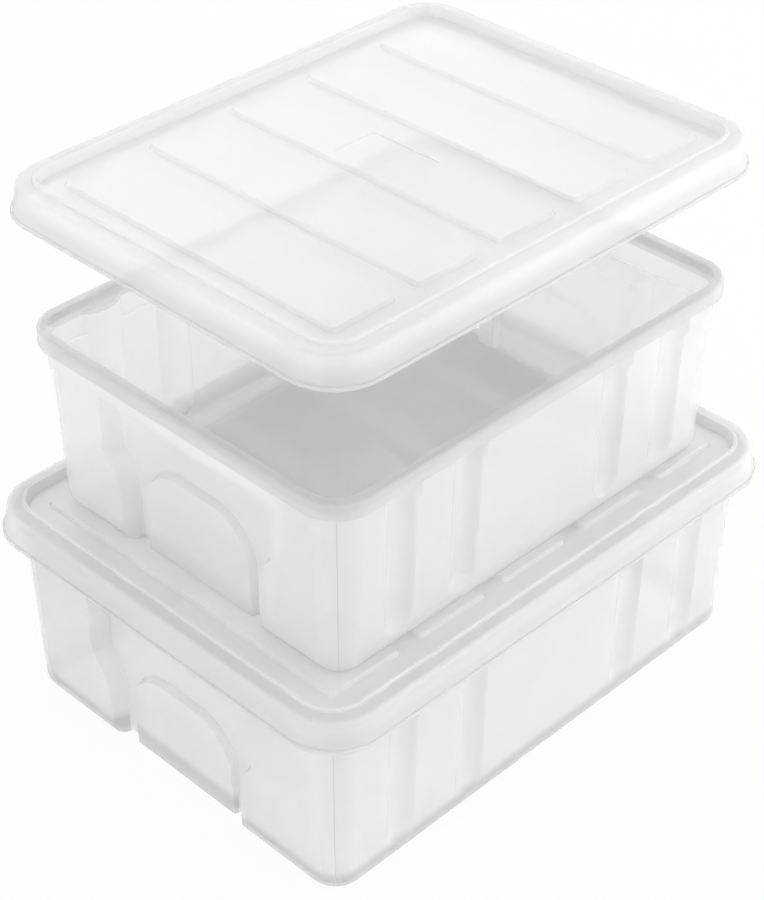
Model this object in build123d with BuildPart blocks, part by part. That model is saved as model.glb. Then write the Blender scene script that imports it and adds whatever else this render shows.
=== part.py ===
"""Two stacked dough proofing containers, each a drafted tub with its own lid.

The lower container is one size larger than the upper one. The origin is the centre of the
lower tub's base. X runs along the long sides, Y along the short sides and Z up. The upper
lid is modelled lifted clear of its tub.
"""
import os
from math import atan, cos, degrees, radians, sin, tan

from build123d import *

# The two container sizes: rim length, rim width, rim corner radius and tub height
lower_sizes = (384.0, 299.0, 29.0, 143.0)
upper_sizes = (341.0, 265.0, 26.0, 127.0)

# The even wall of a tub, its draft and the round of its base
wall = 2.0
draft = 1.5
base_edge_radius = 10.0

# The rim flange, hollow underneath, and the collar below it
rim_height = 10.0
rim_overhang = 4.5
rim_lip_wall = 1.8
rim_edge_radius = 2.2
collar_height = 15.0
collar_step = 1.6

# Flutes of a long side: round scoops with a round foot, measured at the wall's face and
# placed as shares of its half length
flute_depth = 4.0
flute_width = 24.0
flute_foot_height = 12.0
flute_place_shares = (-0.71, -0.39, 0.39, 0.71)

# Hand grip of a short side, measured at the wall's face: a pocket under the collar, two legs
# of the same depth that run down from it to the base, and between them a shallower plaque
# with round shoulders
grip_width = 144.0
grip_ledge_height = 62.0
grip_flank_angle = 20.0
pocket_depth = 12.0
plaque_depth = 7.0
leg_span = 120.0
plaque_width = 84.0
shoulder_drop = 15.0
shoulder_radius = 45.0
plaque_corner_radius = 28.0
pocket_corner_radius = 5.0

# A lid: frame, flared skirt with its bead, ridge and sunk pan
lid_wall = 2.0
lid_play = 0.8
pan_play = 0.9
skirt_drop = 19.0
skirt_flare = 3.4
crease_radius = 3.0
bead_step = 1.1
bead_height = 2.6
bead_radius = 0.9
ridge_width = 3.2
ridge_height = 2.3
ridge_radius = 1.2
pan_depth = 4.0
pan_flank_angle = 20.0

# Raised pads on a lid's floor, and the bare label panel on the middle one
pad_count = 5
pad_gap = 15.5
pad_height = 2.5
pad_end_margin = 12.0
pad_side_margin = 13.0
pad_corner_radius = 4.0
pad_flank_angle = 35.0
label_length = 54.0
label_width = 34.0
label_depth = 0.5
label_corner_radius = 3.0

# Height of the upper lid above its seat
lid_lift = 93.0

# Overrun of every cut past the face that it opens
overrun = 2.0

# Slopes, radii and heights that follow from the values above and hold for both sizes
wall_lean = radians(draft)
draft_slope = tan(wall_lean)
flute_radius = (flute_width ** 2 / 4 + flute_depth ** 2) / (2 * flute_depth)
flute_nose_height = flute_foot_height + flute_width / 2
grip_slope = tan(radians(grip_flank_angle))
lid_growth = lid_play + lid_wall
pan_inset = rim_overhang + wall + pan_play + lid_wall
pan_slope = tan(radians(pan_flank_angle))
skirt_taper = degrees(atan(skirt_flare / skirt_drop))
pan_floor = lid_wall - pan_depth
pad_top = pan_floor + pad_height


class Container:
    """One size of container: its rim outline and height, and what follows from them."""

    def __init__(self, rim_length, rim_width, rim_corner_radius, tub_height):
        self.rim_length = rim_length
        self.rim_width = rim_width
        self.rim_corner_radius = rim_corner_radius
        self.tub_height = tub_height
        self.collar_top = tub_height - rim_height
        self.collar_bottom = self.collar_top - collar_height
        self.wall_inset = rim_overhang + collar_step + tub_height * draft_slope
        self.wall_length = rim_length - 2 * self.wall_inset
        self.wall_width = rim_width - 2 * self.wall_inset
        self.grip_top = self.collar_bottom - collar_step * grip_slope


def rim_outline(size, growth):
    """A rounded rectangle that lies outside the rim's outline by a growth."""
    return RectangleRounded(
        size.rim_length + 2 * growth, size.rim_width + 2 * growth, size.rim_corner_radius + growth
    )


def drafted_block(size, bottom, top, step, edge_radius):
    """A block with the wall's draft, stepped out from the wall's face, its lower edge rounded."""
    growth = bottom * draft_slope + step - size.wall_inset
    with BuildPart() as block:
        with BuildSketch(Plane.XY.offset(bottom)):
            rim_outline(size, growth)
        extrude(amount=top - bottom, taper=-draft)
        if edge_radius:
            fillet(block.edges().group_by(Axis.Z)[0], edge_radius)
    return block.part


def flank_growth(skin, flank_angle):
    """How far an outline grows when its sloping flank is set back by a skin."""
    return skin * tan(radians((90 - flank_angle) / 2))


def flute_cutters(size, skin):
    """Round-nosed cutters for the flutes of both long sides, each grown by a skin."""
    up = (0, -sin(wall_lean), cos(wall_lean))
    face = Plane(origin=(0, -size.wall_width / 2, 0), x_dir=(1, 0, 0), z_dir=up)
    nose = face.offset(flute_nose_height)
    centres = [
        (share * size.wall_length / 2, flute_depth - flute_radius) for share in flute_place_shares
    ]
    with BuildPart() as cutters:
        with BuildSketch(nose):
            with Locations(*centres):
                Circle(flute_radius + skin)
        extrude(amount=size.collar_top + skin - flute_nose_height)
        with Locations(nose):
            with Locations(*centres):
                Sphere(flute_radius + skin)
        mirror(about=Plane.XZ)
    return cutters.part


def grip_outline(size, reach):
    """A hand grip's outline at the wall's face: its pocket and legs, or the plaque as well."""
    foot = -pocket_depth - overrun
    pocket_side, leg_outer, leg_inner = grip_width / 2, leg_span / 2, plaque_width / 2
    corners = [
        (0, size.grip_top), (pocket_side, size.grip_top), (pocket_side, grip_ledge_height),
        (leg_outer, grip_ledge_height - shoulder_drop), (leg_outer, foot),
    ]
    radii = [pocket_corner_radius, pocket_corner_radius, shoulder_radius, pocket_corner_radius]
    if reach == "legs":
        corners += [(leg_inner, foot), (leg_inner, grip_ledge_height), (0, grip_ledge_height)]
        radii += [pocket_corner_radius, plaque_corner_radius]
    else:
        corners.append((0, foot))
    with BuildSketch() as outline:
        with BuildLine():
            FilletPolyline(*corners, radius=radii)
            mirror(about=Plane.YZ)
        make_face()
    return outline.sketch


def grip_cutters(size, skin, depth, reach):
    """The hand grips of both short sides at one depth, each set back by a skin."""
    run = depth * grip_slope - flank_growth(skin, grip_flank_angle)
    outward = (-cos(wall_lean), 0, -sin(wall_lean))
    face = Plane(origin=(-size.wall_length / 2, 0, 0), x_dir=(0, -1, 0), z_dir=outward)
    with BuildPart() as cutters:
        with BuildSketch(face.offset(-depth - skin)):
            add(grip_outline(size, reach))
            offset(amount=-run)
        extrude(amount=depth + skin + collar_step + overrun, taper=-grip_flank_angle)
        mirror(about=Plane.YZ)
    return cutters.part


def tub_form(size, skin):
    """The tub's outer form, or with a skin the hollow inside it."""
    top = size.tub_height + (overrun if skin else 0)
    with BuildPart() as form:
        add(drafted_block(size, skin, top, -skin, base_edge_radius - skin))
        add(drafted_block(size, size.collar_bottom + skin, top, collar_step - skin, 0))
        add(flute_cutters(size, skin), mode=Mode.SUBTRACT)
        add(grip_cutters(size, skin, plaque_depth, "whole"), mode=Mode.SUBTRACT)
        add(grip_cutters(size, skin, pocket_depth, "legs"), mode=Mode.SUBTRACT)
    return form.part


def rim_block(size):
    """The rim flange before it is hollowed, its upper edge rounded."""
    with BuildPart() as block:
        with BuildSketch(Plane.XY.offset(size.collar_top)):
            rim_outline(size, 0)
        extrude(amount=rim_height)
        fillet(block.edges().group_by(Axis.Z)[-1], rim_edge_radius)
    return block.part


def tub(size):
    """A tub standing on the origin."""
    with BuildPart() as body:
        add(tub_form(size, 0))
        add(rim_block(size))
        with BuildSketch(Plane.XY.offset(size.collar_top)):
            rim_outline(size, -rim_lip_wall)
            with BuildSketch(mode=Mode.SUBTRACT):
                rim_outline(size, -rim_overhang)
        extrude(amount=rim_height - wall, mode=Mode.SUBTRACT)
        add(tub_form(size, wall), mode=Mode.SUBTRACT)
    return body.part


def bead_block(size, bottom):
    """A rounded block whose edge is the bead along a skirt's lower edge."""
    with BuildPart() as block:
        with BuildSketch(Plane.XY.offset(bottom)):
            rim_outline(size, lid_growth + skirt_flare + bead_step)
        extrude(amount=bead_height)
        loops = block.edges().group_by(Axis.Z)
        fillet(loops[0] + loops[-1], bead_radius)
    return block.part


def lid(size):
    """A lid whose frame rests on the plane through the origin."""
    skirt_bottom = lid_wall - skirt_drop
    with BuildPart() as body:
        # Skirt and frame
        with BuildSketch(Plane.XY.offset(skirt_bottom)):
            rim_outline(size, lid_growth + skirt_flare)
        extrude(amount=skirt_drop, taper=skirt_taper)
        fillet(body.edges().group_by(Axis.Z)[-1], crease_radius)
        add(bead_block(size, skirt_bottom))
        # Ridge round the pan
        with BuildSketch(Plane.XY.offset(lid_wall)):
            rim_outline(size, ridge_width - pan_inset)
        extrude(amount=ridge_height)
        fillet(body.edges().group_by(Axis.Z)[-1], ridge_radius)
        # Hollow under the frame
        with BuildSketch(Plane.XY.offset(skirt_bottom)):
            rim_outline(size, lid_growth + skirt_flare - lid_wall)
        extrude(amount=skirt_drop - lid_wall, taper=skirt_taper, mode=Mode.SUBTRACT)
        # Pan, its floor and flanks as thick as the rest
        pan_run = pan_depth * pan_slope
        with BuildSketch(Plane.XY.offset(pan_floor - lid_wall)):
            rim_outline(size, flank_growth(lid_wall, pan_flank_angle) - pan_inset - pan_run)
        extrude(amount=pan_depth, taper=-pan_flank_angle)
        with BuildSketch(Plane.XY.offset(pan_floor)):
            rim_outline(size, -pan_inset - pan_run)
        extrude(amount=pan_depth + ridge_height, taper=-pan_flank_angle, mode=Mode.SUBTRACT)
        # Raised pads, hollow underneath
        floor_length = size.rim_length - 2 * (pan_inset + pan_run)
        floor_width = size.rim_width - 2 * (pan_inset + pan_run)
        pad_row = floor_length - 2 * pad_end_margin
        pad_length = (pad_row - (pad_count - 1) * pad_gap) / pad_count
        pad_width = floor_width - 2 * pad_side_margin
        with BuildSketch(Plane.XY.offset(pan_floor)):
            with GridLocations(pad_length + pad_gap, 0, pad_count, 1):
                RectangleRounded(pad_length, pad_width, pad_corner_radius)
        extrude(amount=pad_height, taper=pad_flank_angle)
        pad_skin = lid_wall - flank_growth(lid_wall, pad_flank_angle)
        with BuildSketch(Plane.XY.offset(pan_floor - lid_wall)):
            with GridLocations(pad_length + pad_gap, 0, pad_count, 1):
                RectangleRounded(
                    pad_length - 2 * pad_skin, pad_width - 2 * pad_skin,
                    pad_corner_radius - pad_skin / 2,
                )
        extrude(amount=pad_height, taper=pad_flank_angle, mode=Mode.SUBTRACT)
        # Bare label panel, sunk in the middle pad
        with BuildSketch(Plane.XY.offset(pad_top)):
            RectangleRounded(label_width, label_length, label_corner_radius)
        extrude(amount=-label_depth, mode=Mode.SUBTRACT)
    return body.part


lower_size = Container(*lower_sizes)
upper_size = Container(*upper_sizes)
upper_tub_height = lower_size.tub_height + pad_top
upper_lid_height = upper_tub_height + upper_size.tub_height + lid_lift

with BuildPart() as lower_tub:
    add(tub(lower_size))
lower_tub.part.label = "lower_tub"

with BuildPart() as lower_lid:
    with Locations((0, 0, lower_size.tub_height)):
        add(lid(lower_size))
lower_lid.part.label = "lower_lid"

with BuildPart() as upper_tub:
    with Locations((0, 0, upper_tub_height)):
        add(tub(upper_size))
upper_tub.part.label = "upper_tub"

with BuildPart() as upper_lid:
    with Locations((0, 0, upper_lid_height)):
        add(lid(upper_size))
upper_lid.part.label = "upper_lid"

os.makedirs("parts", exist_ok=True)
for piece in (lower_tub, lower_lid, upper_tub, upper_lid):
    export_step(piece.part, f"parts/{piece.part.label}.step")
    box = piece.part.bounding_box()
    print(piece.part.label, "solids", len(piece.part.solids()), "volume", round(piece.part.volume))
    print("  low", box.min, "high", box.max)
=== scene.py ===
# %% [markdown]
# # A stacked pair of dough proofing boxes
# Two drafted tubs and two loose lids, each a single moulding of frosted polypropylene. The CAD
# model already holds every wall, rim, flute and grip at its real size, so this lesson is about
# finish and light: one translucent plastic, a soft white studio and the camera.

from math import cos, radians, sin

import bpy
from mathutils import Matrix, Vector


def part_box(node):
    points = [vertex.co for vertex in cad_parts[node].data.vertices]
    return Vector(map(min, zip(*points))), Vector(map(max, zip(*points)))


MM = 0.001

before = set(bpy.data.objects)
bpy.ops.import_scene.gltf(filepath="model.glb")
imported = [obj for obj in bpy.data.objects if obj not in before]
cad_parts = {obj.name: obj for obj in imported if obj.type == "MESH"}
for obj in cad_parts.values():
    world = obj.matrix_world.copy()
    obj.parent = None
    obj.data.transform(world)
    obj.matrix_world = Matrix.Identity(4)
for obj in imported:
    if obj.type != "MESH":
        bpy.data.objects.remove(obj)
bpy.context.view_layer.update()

# %% [markdown]
# A product photograph of a stack like this is taken over one corner, looking down at about 36
# degrees, so that the tops and both kinds of side show. A longish lens keeps the upright edges
# nearly parallel. The camera could be parented to an empty, but plain angles and a distance are
# easier to read and to change one at a time. Blender measures the sensor along the longer side of
# the picture, which is its height here, so the focal length in pixels is set against the height.

# %% Camera
image_height_px = 900
focal_length_px = 2200
camera_azimuth = radians(-45.16)
camera_elevation = radians(35.85)
camera_distance = 1365 * MM
aim_height = 159.6 * MM
aim_right = -2.5 * MM

camera_data = bpy.data.cameras.new("camera")
camera_data.lens = focal_length_px / image_height_px * camera_data.sensor_width
camera = bpy.data.objects.new("camera", camera_data)
bpy.context.scene.collection.objects.link(camera)
bpy.context.scene.camera = camera

to_camera = Vector((
    sin(camera_azimuth) * cos(camera_elevation),
    -cos(camera_azimuth) * cos(camera_elevation),
    sin(camera_elevation),
))
camera_right = Vector((cos(camera_azimuth), sin(camera_azimuth), 0))
aim = camera_right * aim_right + Vector((0, 0, aim_height))
camera.location = aim + to_camera * camera_distance
camera.rotation_euler = to_camera.to_track_quat("Z", "Y").to_euler()
print("lens", round(camera_data.lens, 1), "mm")

# %% [markdown]
# Every finish below is a small tree of shader nodes. The trees could be drawn by hand in the
# shader editor, but written out they can follow the sizes of the mouldings. One helper adds a node
# with its settings and links, and one turns a hex colour, as a paint chart gives it, into the
# linear values that a shader works in. Sockets are called by name, or by place on a node that
# gives several of them the same name, as Math and Mix do.

# %% Helpers for materials
def linear(hex_colour):
    """An sRGB hex colour as linear red, green and blue with full alpha."""
    shares = [int(hex_colour[i:i + 2], 16) / 255 for i in (0, 2, 4)]
    return [s / 12.92 if s <= 0.04045 else ((s + 0.055) / 1.055) ** 2.4 for s in shares] + [1.0]


def add_node(tree, kind, settings=None, inputs=None):
    """Adds a shader node; an input is a value, or another node's output to link."""
    made = tree.nodes.new(kind)
    for name, value in (settings or {}).items():
        setattr(made, name, value)
    for name, value in (inputs or {}).items():
        if isinstance(value, bpy.types.NodeSocket):
            tree.links.new(value, made.inputs[name])
        else:
            made.inputs[name].default_value = value
    return made


def new_tree(owner):
    """Empties the owner's node tree and returns it."""
    owner.use_nodes = True
    owner.node_tree.nodes.clear()
    return owner.node_tree


print("colour check", [round(v, 3) for v in linear("F2F2F2")])

# %% [markdown]
# Bands of height grey the plastic, and most of that grey is painted shade. On the hollow rim of a
# tub the plastic is doubled, so more of it is in the light's way and it looks a shade greyer; that
# band is partly this and partly painted shade. The bands on the foot of a tub and on the skirt and
# bead of a lid are painted shade. Colours could be painted on the mesh, but bands of height follow
# the real sizes.
# The `past` sockets give how far a point lies past the moulding's end, side and top, so inside the
# moulding they are all below zero. The foot's painted shade keeps to the rounded edge of the base,
# because the flat floor inside it is plain. It is painted fully on the lower tub, which stands
# free, and faintly on the upper one, which stands in a lid.

# %% Bands of doubled plastic and painted shade
rim_depth = 10 * MM
soft_edge = 0.7 * MM
foot_height = 20 * MM
base_flat_inset = 20 * MM
lid_frame_depth = 5 * MM
bead_reach = 6 * MM
# How grey each band turns: painted shade on the skirt and foot, doubled plastic and painted shade
# on the rim.
rim_doubling_and_shade_share = 0.75
skirt_shade_share = 0.6
foot_shade_shares = {"lower_tub": 1.0, "upper_tub": 0.25}


def doubled_plastic_and_painted_shade(tree, past, box, name):
    """A factor from 0 to 1 for painted shade on a moulding's foot or lid skirt, and on its rim,
    where the plastic is also doubled.
    """
    smooth = {"interpolation_type": "SMOOTHSTEP"}
    height = box[1].z - box[0].z
    if name.endswith("lid"):
        skirt = add_node(tree, "ShaderNodeMapRange", smooth, {
            "Value": past.outputs["Z"], "To Max": skirt_shade_share,
            "From Min": -lid_frame_depth, "From Max": bead_reach - height})
        return skirt.outputs["Result"]
    rim = add_node(tree, "ShaderNodeMapRange", smooth, {
        "Value": past.outputs["Z"], "To Max": rim_doubling_and_shade_share,
        "From Min": -rim_depth - soft_edge, "From Max": -rim_depth + soft_edge})
    foot = add_node(tree, "ShaderNodeMapRange", smooth, {
        "Value": past.outputs["Z"], "To Max": foot_shade_shares[name],
        "From Min": foot_height - height, "From Max": foot_height / 2 - height})
    outward = add_node(tree, "ShaderNodeMath", {"operation": "MAXIMUM"}, {
        0: past.outputs["X"], 1: past.outputs["Y"]})
    round_edge = add_node(tree, "ShaderNodeMath", {"operation": "GREATER_THAN"}, {
        0: outward.outputs[0], 1: -base_flat_inset})
    foot_edge = add_node(tree, "ShaderNodeMath", {"operation": "MULTIPLY"}, {
        0: foot.outputs["Result"], 1: round_edge.outputs[0]})
    either = add_node(tree, "ShaderNodeMath", {"operation": "MAXIMUM"}, {
        0: rim.outputs["Result"], 1: foot_edge.outputs[0]})
    return either.outputs[0]


print("rim band", round(rim_depth, 4), "m, foot band", round(foot_height, 4), "m")

# %% [markdown]
# The grips of a tub are undercut, so its mould has sides that slide away, and the plastic that
# creeps in where two of them meet leaves a hair line down the middle of each corner. The line lies
# where a point falls as far short of the tub's end as of its side, so comparing those two lengths
# finds it. A real line is about 0.2 mm wide, too thin to show, and the tolerance here draws it at
# half a millimetre. A modelled ridge would be another way, but one that thin belongs in the finish.

# %% Parting line of a mould
line_tolerance = 0.35 * MM
corner_reach = 26 * MM


def parting_line(tree, past):
    """A factor that is 1 on the hair lines down a tub's four corners."""
    line = add_node(tree, "ShaderNodeMath", {"operation": "COMPARE"}, {
        0: past.outputs["X"], 1: past.outputs["Y"], 2: line_tolerance})
    corner = add_node(tree, "ShaderNodeMath", {"operation": "GREATER_THAN"}, {
        0: past.outputs["Y"], 1: -corner_reach})
    both = add_node(tree, "ShaderNodeMath", {"operation": "MULTIPLY"}, {
        0: line.outputs[0], 1: corner.outputs[0]})
    return both.outputs[0]


print("parting line tolerance", round(line_tolerance, 5), "m")

# %% [markdown]
# Natural polypropylene is milky because it is half crystalline: light goes in, scatters between
# the crystals and comes out somewhere else, also on the far side of a two millimetre wall. A clear
# shell with a scattering volume in it would do that too, but slowly and with much noise. A
# Principled shader with full subsurface scattering gives the same soft glow, and an alpha well
# under one lets a trace of what lies behind show through.
# The mould is lightly etched, which leaves a satin skin. The etching is about 0.1 mm fine, too
# fine to show, so its bump is drawn at 1 mm. Cooling leaves faint clouds a few centimetres wide.

# %% Frosted polypropylene
cloud_size = 45 * MM
etch_size = 1 * MM
etch_depth = 0.2 * MM
etch_strength = 0.1
line_depth = 0.3 * MM
line_strength = 0.6
scatter_length = 2.5 * MM
clear_colour = linear("FDFDFD")
cloud_colour = linear("F5F5F5")
# The grey of the bands, which is painted shade, over doubled plastic on the rim.
doubled_and_shade_colour = linear("D9D9D9")
line_colour = linear("E2E2E2")

# The colour sockets of a Mix node, by place
mix_first, mix_second, mix_result = 6, 7, 2


def frosted_polypropylene(name, alpha):
    """Natural polypropylene from a finely etched mould: milky, faintly see-through, satin."""
    material = bpy.data.materials.new(f"frosted_polypropylene_{name}")
    tree = new_tree(material)
    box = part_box(name)
    place = add_node(tree, "ShaderNodeTexCoord").outputs["Object"]
    mirrored = add_node(tree, "ShaderNodeVectorMath", {"operation": "ABSOLUTE"}, {0: place})
    beyond = add_node(tree, "ShaderNodeVectorMath", {"operation": "SUBTRACT"}, {
        0: mirrored.outputs[0], 1: box[1]})
    past = add_node(tree, "ShaderNodeSeparateXYZ", None, {"Vector": beyond.outputs[0]})
    flow = add_node(tree, "ShaderNodeTexNoise", None, {
        "Vector": place, "Scale": 1 / cloud_size, "Detail": 4, "Roughness": 0.55})
    tint = add_node(tree, "ShaderNodeMix", {"data_type": "RGBA"}, {
        0: flow.outputs["Fac"], mix_first: clear_colour, mix_second: cloud_colour})
    # Painted shade: the rim, foot and skirt bands grey the colour, with doubled plastic on the rim
    # as well.
    colour = add_node(tree, "ShaderNodeMix", {"data_type": "RGBA"}, {
        0: doubled_plastic_and_painted_shade(tree, past, box, name),
        mix_first: tint.outputs[mix_result], mix_second: doubled_and_shade_colour})
    etch = add_node(tree, "ShaderNodeTexNoise", None, {
        "Vector": place, "Scale": 1 / etch_size, "Detail": 2})
    skin = add_node(tree, "ShaderNodeBump", None, {
        "Height": etch.outputs["Fac"], "Strength": etch_strength, "Distance": etch_depth})
    if name.endswith("tub"):
        line = parting_line(tree, past)
        colour = add_node(tree, "ShaderNodeMix", {"data_type": "RGBA"}, {
            0: line, mix_first: colour.outputs[mix_result], mix_second: line_colour})
        skin = add_node(tree, "ShaderNodeBump", None, {
            "Height": line, "Strength": line_strength, "Distance": line_depth,
            "Normal": skin.outputs["Normal"]})
    plastic = add_node(tree, "ShaderNodeBsdfPrincipled", None, {
        "Base Color": colour.outputs[mix_result],
        "Subsurface Weight": 1.0,
        "Subsurface Radius": (1, 1, 1),
        "Subsurface Scale": scatter_length,
        "Roughness": 0.27,
        "IOR": 1.49,
        "Alpha": alpha,
        "Normal": skin.outputs["Normal"],
    })
    add_node(tree, "ShaderNodeOutputMaterial", None, {"Surface": plastic.outputs["BSDF"]})
    return material


print("light scatters over", round(scatter_length, 5), "m")

# %% [markdown]
# A lid is folded into ridges and pads and lets less through than the plain wall of a tub, so the
# two have an alpha of their own. All four mouldings could share one material, but each gets its
# own copy of the finish, because the bands follow that moulding's own height.

# %% Finish of each moulding
tub_alpha = 0.45
lid_alpha = 0.55

for name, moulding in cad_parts.items():
    is_lid = name.endswith("lid")
    finish = frosted_polypropylene(name, lid_alpha if is_lid else tub_alpha)
    moulding.data.materials.clear()
    moulding.data.materials.append(finish)
    print(name, "finished in", finish.name)

# %% [markdown]
# The stack stands on white seamless paper under a white sky. Brighter lamps would make both plain
# white, but they would wash the plastic out too. Light Path tells what a ray is doing, so the
# white shows only where the camera, a reflection or a view through the plastic looks at it, and
# the rays that carry light meet plain paper and a dimmer sky.

# %% Helper for the backdrop
def show_white(tree, lit, glow, share, output):
    """Rays that look at a surface see this share of the glow, and the others only what is lit."""
    path = add_node(tree, "ShaderNodeLightPath")
    looked = path.outputs["Is Camera Ray"]
    for ray in ("Is Glossy Ray", "Is Transmission Ray"):
        either = add_node(tree, "ShaderNodeMath", {"operation": "MAXIMUM"}, {
            0: looked, 1: path.outputs[ray]})
        looked = either.outputs[0]
    seen = add_node(tree, "ShaderNodeMath", {"operation": "MULTIPLY"}, {0: looked, 1: share})
    blend = add_node(tree, "ShaderNodeMixShader", None, {
        0: seen.outputs[0], 1: lit.outputs[0], 2: glow.outputs[0]})
    add_node(tree, output, None, {"Surface": blend.outputs[0]})


white = linear("FFFFFF")
print("backdrop white", white)

# %% [markdown]
# A studio's paper curves up behind the object. Seen from above, the floor fills the picture, so a
# plain square a few metres wide does. A little of its own diffuse colour stays in what the camera
# sees, so that the stack still drops a faint shade on it.

# %% Floor of seamless paper
floor_half = 3000 * MM
floor_glow_share = 0.94

floor_mesh = bpy.data.meshes.new("floor")
floor_mesh.from_pydata(
    [(x * floor_half, y * floor_half, 0) for x, y in ((-1, -1), (1, -1), (1, 1), (-1, 1))],
    [], [(0, 1, 2, 3)])
floor = bpy.data.objects.new("floor", floor_mesh)
bpy.context.scene.collection.objects.link(floor)

floor_paper = bpy.data.materials.new("matt_white_paper")
tree = new_tree(floor_paper)
paper = add_node(tree, "ShaderNodeBsdfDiffuse", None, {"Color": linear("F0F0F0")})
glow = add_node(tree, "ShaderNodeEmission", None, {"Color": white, "Strength": 1.0})
show_white(tree, paper, glow, floor_glow_share, "ShaderNodeOutputMaterial")
floor_mesh.materials.append(floor_paper)
print("floor", 2 * floor_half, "m wide")

# %% [markdown]
# The sky lights everything evenly, as a white room does. A gradient with brighter windows would
# give livelier reflections, but a satin plastic blurs them away.

# %% White sky
sky_strength = 0.82
backdrop_share = 1.0

world = bpy.data.worlds.new("studio")
bpy.context.scene.world = world
tree = new_tree(world)
sky_light = add_node(tree, "ShaderNodeBackground", None, {"Color": white, "Strength": sky_strength})
backdrop = add_node(tree, "ShaderNodeBackground", None, {"Color": white, "Strength": 1.0})
show_white(tree, sky_light, backdrop, backdrop_share, "ShaderNodeOutputWorld")
print("sky strength", sky_strength)

# %% [markdown]
# Three softboxes model the form on top of the even sky, where one alone would leave a side flat.
# A low one on the right rakes the long sides, which draws the flutes. A low weak one on the left
# lights the short ends. One behind and above leaves the near flanks of the lids' pads in a thin
# shade. The strong one is kept out of reflections, as a photographer does with a flag, or it would
# burn out a lid seen at a low angle. The Standard view shows a colour about as it is written.

# %% Lamps
softbox_size = 1000 * MM
key_place, key_watts = (1.5, -1.3, 0.6), 19
side_place, side_watts = (-1.7, -0.5, 0.5), 5.5
back_place, back_watts = (0.9, 1.2, 1.3), 3


def softbox(name, place, watts):
    """A square area lamp that stands at a place in metres and looks at the middle of the stack."""
    data = bpy.data.lights.new(name, "AREA")
    data.size = softbox_size
    data.energy = watts
    lamp = bpy.data.objects.new(name, data)
    bpy.context.scene.collection.objects.link(lamp)
    lamp.location = place
    lamp.rotation_euler = (Vector(place) - aim).to_track_quat("Z", "Y").to_euler()
    return lamp


key = softbox("key_softbox", key_place, key_watts)
key.visible_glossy = False
softbox("side_softbox", side_place, side_watts)
softbox("back_softbox", back_place, back_watts)
bpy.context.scene.view_settings.view_transform = "Standard"
